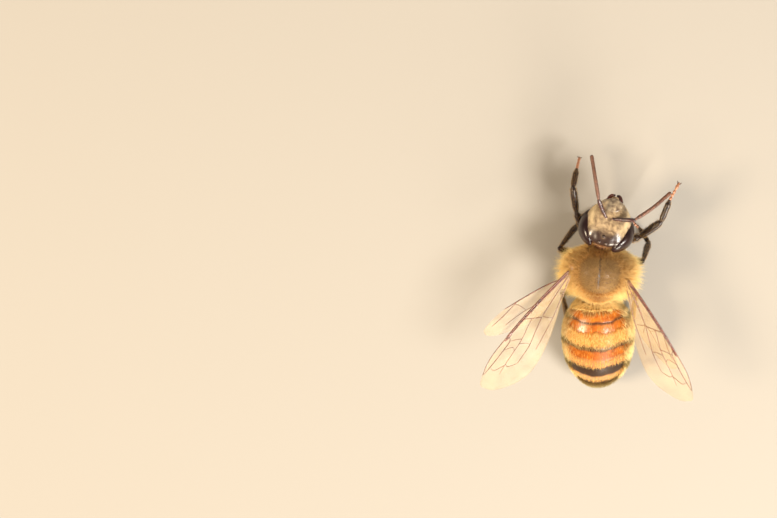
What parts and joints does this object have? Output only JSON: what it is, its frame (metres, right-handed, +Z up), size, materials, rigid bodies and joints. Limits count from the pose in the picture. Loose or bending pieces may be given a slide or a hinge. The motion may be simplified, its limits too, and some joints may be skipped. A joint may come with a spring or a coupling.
{
  "type": "honey bee",
  "caption": "Worker honey bee at life size, standing with wings half open, forelegs raised and feelers spread, as a still museum model.",
  "frame": {"origin": "centre of the footprint box on the floor that the feet stand on", "axes": "+Z up, the bee faces -Y, its left side is +X"},
  "size_m": [0.0148, 0.0176, 0.0064],
  "materials": {
    "thorax_coat": "matte, golden hair over dark grey-brown shell",
    "head_coat": "satin, short pale down over dark shell",
    "eye": "gloss, dark maroon",
    "mouthparts": "semi-gloss, dark brown",
    "feeler": "semi-gloss, dark brown",
    "abdomen_plates": "semi-gloss, orange with dark brown rear bands",
    "leg": "semi-gloss, black-brown",
    "wing": "clear amber film with brown veins"
  },
  "bodies": {
    "root": {"abdomen_1": "abdomen_plates", "abdomen_2": "abdomen_plates", "abdomen_3": "abdomen_plates", "abdomen_4": "abdomen_plates", "abdomen_5": "abdomen_plates", "abdomen_6": "abdomen_plates", "eye_left": "eye", "eye_right": "eye", "flagellum_left": "feeler", "flagellum_right": "feeler", "foreleg_left_basitarsus": "leg", "foreleg_left_femur": "leg", "foreleg_left_tarsus": "leg", "foreleg_left_tibia": "leg", "foreleg_right_basitarsus": "leg", "foreleg_right_femur": "leg", "foreleg_right_tarsus": "leg", "foreleg_right_tibia": "leg", "forewing_left": "wing", "forewing_right": "wing", "head": "head_coat", "hindleg_left_basitarsus": "leg", "hindleg_left_femur": "leg", "hindleg_left_tarsus": "leg", "hindleg_left_tibia": "leg", "hindleg_right_basitarsus": "leg", "hindleg_right_femur": "leg", "hindleg_right_tarsus": "leg", "hindleg_right_tibia": "leg", "hindwing_left": "wing", "hindwing_right": "wing", "mandible_left": "mouthparts", "mandible_right": "mouthparts", "midleg_left_basitarsus": "leg", "midleg_left_femur": "leg", "midleg_left_tarsus": "leg", "midleg_left_tibia": "leg", "midleg_right_basitarsus": "leg", "midleg_right_femur": "leg", "midleg_right_tarsus": "leg", "midleg_right_tibia": "leg", "neck": "mouthparts", "proboscis": "mouthparts", "scape_left": "feeler", "scape_right": "feeler", "thorax": "thorax_coat"}
  },
  "joints": []
}
